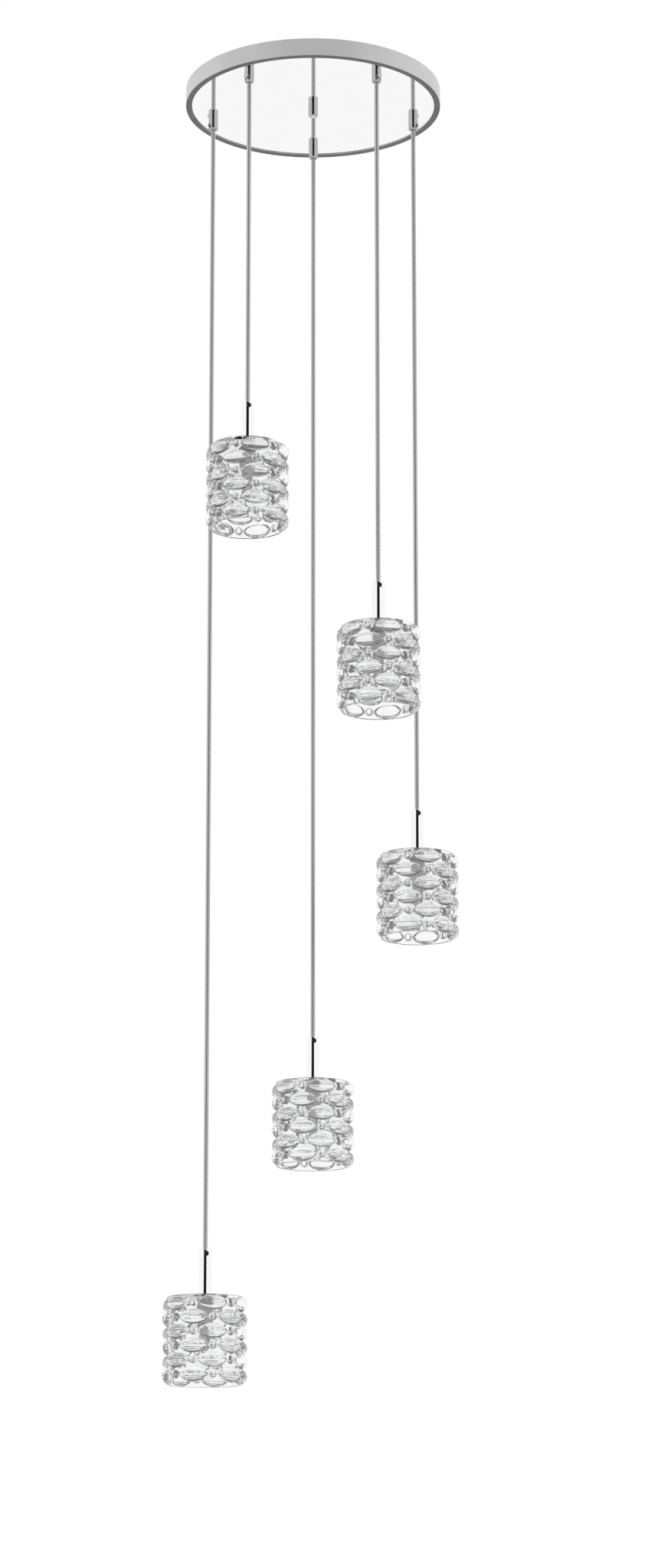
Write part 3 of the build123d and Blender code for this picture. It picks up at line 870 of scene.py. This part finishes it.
def make_floor():
    """Pale floor that can't be seen from below."""
    material = bpy.data.materials.new("floor_paint")
    material.use_nodes = True
    tree = Tree(material.node_tree)
    material.node_tree.nodes.clear()
    paint = tree.add("ShaderNodeBsdfDiffuse")
    paint.inputs["Color"].default_value = grey(FLOOR_TONE)
    white = tree.add("ShaderNodeEmission")
    white.inputs["Color"].default_value = grey(1.0)
    share = tree.math("MULTIPLY", seen(tree), FLOOR_WHITE)
    above = mixed_shader(tree, share, paint.outputs[0], white.outputs[0])
    below = tree.add("ShaderNodeNewGeometry").outputs["Backfacing"]
    clear = tree.add("ShaderNodeBsdfTransparent")
    surface = mixed_shader(tree, below, above, clear.outputs[0])
    tree.feed(tree.add("ShaderNodeOutputMaterial").inputs["Surface"], surface)
    rim = turned([(FLOOR_RADIUS, FLOOR_LEVEL)], FLOOR_SIDES)
    mesh = new_mesh("floor", rim, [tuple(range(FLOOR_SIDES))])
    mesh.materials.append(material)
    new_object("floor", mesh)


# ---------------------------------------------------------------- world

# Tones by the direction of a ray: its azimuth from the front in degrees, and its slope, which is 1
# straight up and -1 straight down. Pairs of slopes are the limits of a soft edge.

FLAG_EDGE = 27.0  # half width of the black flag at the front
FLAG_SOFT = 2.5
FLAG_TOP = (0.80, 0.90)
FLAG_FOOT = (-0.62, -0.52)
FLAG_FOOT_ONCE = (-0.12, -0.02)  # for rays mirrored once, such as those of the canopy's mirror
FLAG_LEFT_ONCE = 0.3  # what they see of the flag below that
MIRRORED_AGAIN = 1.5  # glossy depth past which a ray has been mirrored twice
REAR_EDGE = (-0.97, -0.93)  # cosines of the azimuths at which the grey rear band ends
REAR_FOOT = (-0.12, -0.02)
STRIPES = ((22.5, 5.0), (67.5, 6.0), (112.5, 6.0), (157.5, 7.0))  # azimuth and half width, both sides
STRIPE_CORE = 0.6  # share of the half width before the stripe's soft edge
FRONT_STRIPE = 0.8  # strength of the stripe in the flag's place
STEEP_FROM = (0.38, 0.60)  # up or down, where glass begins to show the dark
STEEP_TO = (0.74, 0.86)  # and where most of it ends
STEEP_SHARES = (0.95, 0.25)  # of the dark, before and after that
BLACK = grey(0.012)
REAR_GREY = grey(0.30)
STRIPE_GREY = (0.15, 0.145, 0.165, 1)
STEEP_GREY = (0.05, 0.05, 0.055, 1)
FILL = grey(0.80)  # what lights the object from all round


def seen_in_metal(tree, front, facing, slope, depth):
    """White room with the black flag at the front and a grey band at the rear."""
    again = tree.math("GREATER_THAN", depth, MIRRORED_AGAIN)
    once = tree.ramp(slope, *FLAG_FOOT_ONCE, FLAG_LEFT_ONCE, 1.0)
    low = tree.math("MULTIPLY", tree.ramp(slope, *FLAG_FOOT), tree.math("MAXIMUM", again, once))
    high = tree.ramp(slope, *FLAG_TOP, 1.0, 0.0)
    flag = tree.math("MULTIPLY", front, tree.math("MULTIPLY", high, low))
    rear = tree.math("MULTIPLY", tree.ramp(facing, *REAR_EDGE, 1.0, 0.0), tree.ramp(slope, *REAR_FOOT))
    return tree.mix(flag, tree.mix(rear, grey(1.0), REAR_GREY), BLACK)


def seen_through_glass(tree, front, azimuth, slope):
    """White room with upright grey stripes, dark in steep directions."""
    bars = tree.math("MULTIPLY", front, FRONT_STRIPE)
    for angle, half in STRIPES:
        away = tree.math("ABSOLUTE", tree.math("SUBTRACT", azimuth, angle))
        bars = tree.math("MAXIMUM", bars, tree.ramp(away, half * STRIPE_CORE, half, 1.0, 0.0))
    room = tree.mix(bars, grey(1.0), STRIPE_GREY)
    lean = tree.math("ABSOLUTE", slope)
    most = tree.ramp(lean, *STEEP_TO, *STEEP_SHARES)
    steep = tree.math("MULTIPLY", tree.ramp(lean, *STEEP_FROM), most)
    return tree.mix(steep, room, STEEP_GREY)


def make_world():
    """White surround for the camera, with other tones for what metal and glass show."""
    world = bpy.data.worlds.new("studio")
    world.use_nodes = True
    scene.world = world
    tree = Tree(world.node_tree)
    world.node_tree.nodes.clear()
    path = tree.add("ShaderNodeLightPath").outputs
    x, y, slope = tree.split(tree.add("ShaderNodeTexCoord").outputs["Generated"])
    forward = tree.math("MULTIPLY", y, -1.0)
    facing = tree.math("DIVIDE", forward, tree.math("MAXIMUM", tree.off_axis(x, y), 0.001))
    turn = tree.math("ABSOLUTE", tree.math("ARCTAN2", x, forward))
    azimuth = tree.math("MULTIPLY", turn, 180 / pi)
    outer_edge = cos(radians(FLAG_EDGE + FLAG_SOFT))
    inner_edge = cos(radians(FLAG_EDGE - FLAG_SOFT))
    front = tree.ramp(facing, outer_edge, inner_edge)
    in_metal = seen_in_metal(tree, front, facing, slope, path["Glossy Depth"])
    in_glass = seen_through_glass(tree, front, azimuth, slope)
    shown = tree.mix(path["Is Transmission Ray"], in_metal, in_glass)
    soft = tree.mix(path["Is Diffuse Ray"], shown, FILL)
    colour = tree.mix(path["Is Camera Ray"], soft, grey(1.0))
    background = tree.add("ShaderNodeBackground")
    tree.feed(background.inputs["Color"], colour)
    tree.feed(tree.add("ShaderNodeOutputWorld").inputs["Surface"], background.outputs[0])


# ---------------------------------------------------------------- lights

LIGHTS = (  # name, place, size, power
    ("key_light", (-2.2, -3.0, 0.6), 1.6, 26.0),
    ("fill_light", (2.6, -1.8, -1.0), 1.8, 12.0),
)
LIGHTS_AIM = Vector((0, 0, -0.9))


def make_lights():
    for name, place, size, power in LIGHTS:
        data = bpy.data.lights.new(name, "AREA")
        data.size = size
        data.energy = power
        light = new_object(name, data)
        light.location = place
        light.rotation_euler = (LIGHTS_AIM - Vector(place)).to_track_quat("-Z", "Y").to_euler()
        light.visible_glossy = False
        light.visible_transmission = False


# ---------------------------------------------------------------- make it

make_camera()
for number in PENDANTS:
    make_cord(number)
shade_low, shade_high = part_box("shade_1")
glass = make_shade_mesh((shade_high.z - shade_low.z) / 2)
for number in PENDANTS:
    place_shade(number, glass)
dress_nodes()
make_floor()
make_world()
make_lights()
scene.view_settings.view_transform = "Standard"
